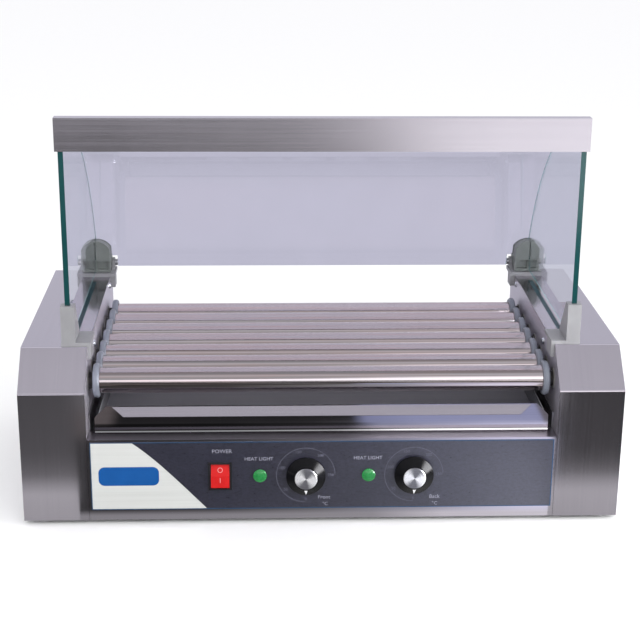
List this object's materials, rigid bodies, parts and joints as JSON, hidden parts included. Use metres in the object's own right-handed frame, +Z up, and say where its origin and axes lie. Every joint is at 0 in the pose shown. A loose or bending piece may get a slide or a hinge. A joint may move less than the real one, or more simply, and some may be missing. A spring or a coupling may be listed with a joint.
{
  "type": "hot dog roller grill",
  "caption": "Counter-top hot dog roller grill with heated stainless rollers, two heat zones, a pull-out drip tray and a lift-up glass hood.",
  "frame": {"origin": "centre of the bounding box at the level of the rubber feet's undersides", "axes": "+Z up, -Y towards the user, +X to the user's right along the rollers"},
  "size_m": [0.5832, 0.323, 0.3921],
  "materials": {
    "housing_steel": "brushed stainless sheet",
    "chassis_steel": "plain galvanised sheet",
    "roller_steel": "fine turned stainless tube",
    "end_disc_ptfe": "off-white heat-proof plastic",
    "bush_ptfe": "white bearing plastic",
    "heater_tube": "heat-darkened steel tube",
    "motor_paint": "dark enamel",
    "chain_steel": "oiled steel",
    "switch_black": "moulded black",
    "rocker_red": "translucent red moulding",
    "lamp_green": "translucent green lens",
    "lamp_body_plastic": "moulded black",
    "knob_black": "moulded black",
    "knob_cap_aluminium": "spun aluminium",
    "shaft_steel": "turned steel",
    "overlay_film": "printed satin film",
    "fitting_alloy": "satin grey die casting",
    "pin_steel": "turned steel",
    "screw_steel": "plated pan-head screws",
    "side_pane_glass": "clear float glass, green edges",
    "curved_pane_glass": "clear bent glass",
    "foot_rubber": "moulded rubber",
    "thermostat_case": "pressed steel can",
    "terminal_ceramic": "glazed ceramic",
    "gland_plastic": "moulded nylon"
  },
  "bodies": {
    "chassis": {"base_pan": "chassis_steel", "left_housing_cover": "housing_steel", "right_housing_cover": "housing_steel", "left_inner_side_plate": "housing_steel", "right_inner_side_plate": "housing_steel", "control_panel": "housing_steel", "panel_overlay": "overlay_film", "rear_panel": "housing_steel", "tray_guide_rails": "chassis_steel", "heating_elements": "heater_tube", "heater_brackets": "chassis_steel", "roller_bushes": "bush_ptfe", "gear_motor": "motor_paint", "motor_bracket": "chassis_steel", "drive_chain": "chain_steel", "power_switch_body": "switch_black", "heat_lamp_bodies": "lamp_body_plastic", "heat_lamp_lenses": "lamp_green", "thermostats": "thermostat_case", "terminal_block": "terminal_ceramic", "cord_gland": "gland_plastic", "rubber_feet": "foot_rubber", "left_front_glass_support": "fitting_alloy", "right_front_glass_support": "fitting_alloy", "left_hinge_base": "fitting_alloy", "right_hinge_base": "fitting_alloy", "hinge_pins": "pin_steel", "housing_screws": "screw_steel"},
    "roller_1": {"roller_1": "roller_steel", "roller_1_end_discs": "end_disc_ptfe"},
    "roller_2": {"roller_2": "roller_steel", "roller_2_end_discs": "end_disc_ptfe"},
    "roller_3": {"roller_3": "roller_steel", "roller_3_end_discs": "end_disc_ptfe"},
    "roller_4": {"roller_4": "roller_steel", "roller_4_end_discs": "end_disc_ptfe"},
    "roller_5": {"roller_5": "roller_steel", "roller_5_end_discs": "end_disc_ptfe"},
    "roller_6": {"roller_6": "roller_steel", "roller_6_end_discs": "end_disc_ptfe"},
    "roller_7": {"roller_7": "roller_steel", "roller_7_end_discs": "end_disc_ptfe"},
    "motor_shaft": {"drive_sprocket": "chain_steel"},
    "front_zone_control": {"front_zone_control_shaft": "shaft_steel", "front_zone_knob": "knob_black", "front_zone_knob_cap": "knob_cap_aluminium"},
    "back_zone_control": {"back_zone_control_shaft": "shaft_steel", "back_zone_knob": "knob_black", "back_zone_knob_cap": "knob_cap_aluminium"},
    "rocker": {"power_rocker": "rocker_red"},
    "tray": {"drip_tray": "housing_steel"},
    "hood": {"left_side_glass": "side_pane_glass", "right_side_glass": "side_pane_glass", "curved_rear_glass": "curved_pane_glass", "hood_top_band": "housing_steel", "left_glass_clamp": "fitting_alloy", "right_glass_clamp": "fitting_alloy"}
  },
  "joints": [
    {"name": "roller_1_spin", "type": "hinge", "parent": "chassis", "child": "roller_1", "pos_m": [0, -0.1095, 0.136], "axis": [1, 0, 0], "continuous": true},
    {"name": "roller_2_spin", "type": "hinge", "parent": "chassis", "child": "roller_2", "pos_m": [0, -0.0755, 0.136], "axis": [1, 0, 0], "continuous": true},
    {"name": "roller_3_spin", "type": "hinge", "parent": "chassis", "child": "roller_3", "pos_m": [0, -0.0415, 0.136], "axis": [1, 0, 0], "continuous": true},
    {"name": "roller_4_spin", "type": "hinge", "parent": "chassis", "child": "roller_4", "pos_m": [0, -0.0075, 0.136], "axis": [1, 0, 0], "continuous": true},
    {"name": "roller_5_spin", "type": "hinge", "parent": "chassis", "child": "roller_5", "pos_m": [0, 0.0265, 0.136], "axis": [1, 0, 0], "continuous": true},
    {"name": "roller_6_spin", "type": "hinge", "parent": "chassis", "child": "roller_6", "pos_m": [0, 0.0605, 0.136], "axis": [1, 0, 0], "continuous": true},
    {"name": "roller_7_spin", "type": "hinge", "parent": "chassis", "child": "roller_7", "pos_m": [0, 0.0945, 0.136], "axis": [1, 0, 0], "continuous": true},
    {"name": "motor_shaft_spin", "type": "hinge", "parent": "chassis", "child": "motor_shaft", "pos_m": [0.238, 0.0025, 0.055], "axis": [1, 0, 0], "continuous": true},
    {"name": "front_zone_knob_turn", "type": "hinge", "parent": "chassis", "child": "front_zone_control", "pos_m": [-0.0166, -0.1475, 0.051], "axis": [0, 1, 0], "range_deg": [0, 270]},
    {"name": "back_zone_knob_turn", "type": "hinge", "parent": "chassis", "child": "back_zone_control", "pos_m": [0.0884, -0.1475, 0.051], "axis": [0, 1, 0], "range_deg": [0, 270]},
    {"name": "power_rocker_tip", "type": "hinge", "parent": "chassis", "child": "rocker", "pos_m": [-0.0994, -0.1463, 0.051], "axis": [1, 0, 0], "range_deg": [0, 20]},
    {"name": "drip_tray_slide", "type": "slide", "parent": "chassis", "child": "tray", "axis": [0, -1, 0], "range_m": [0, 0.26]},
    {"name": "hood_hinge", "type": "hinge", "parent": "chassis", "child": "hood", "pos_m": [0, 0.1485, 0.181], "axis": [-1, 0, 0], "range_deg": [0, 90]}
  ],
  "couplings": [
    {"joint": "roller_2_spin", "follows": "roller_1_spin", "ratio": 1},
    {"joint": "roller_3_spin", "follows": "roller_1_spin", "ratio": 1},
    {"joint": "roller_4_spin", "follows": "roller_1_spin", "ratio": 1},
    {"joint": "roller_5_spin", "follows": "roller_1_spin", "ratio": 1},
    {"joint": "roller_6_spin", "follows": "roller_1_spin", "ratio": 1},
    {"joint": "roller_7_spin", "follows": "roller_1_spin", "ratio": 1},
    {"joint": "motor_shaft_spin", "follows": "roller_1_spin", "ratio": 1.4}
  ]
}
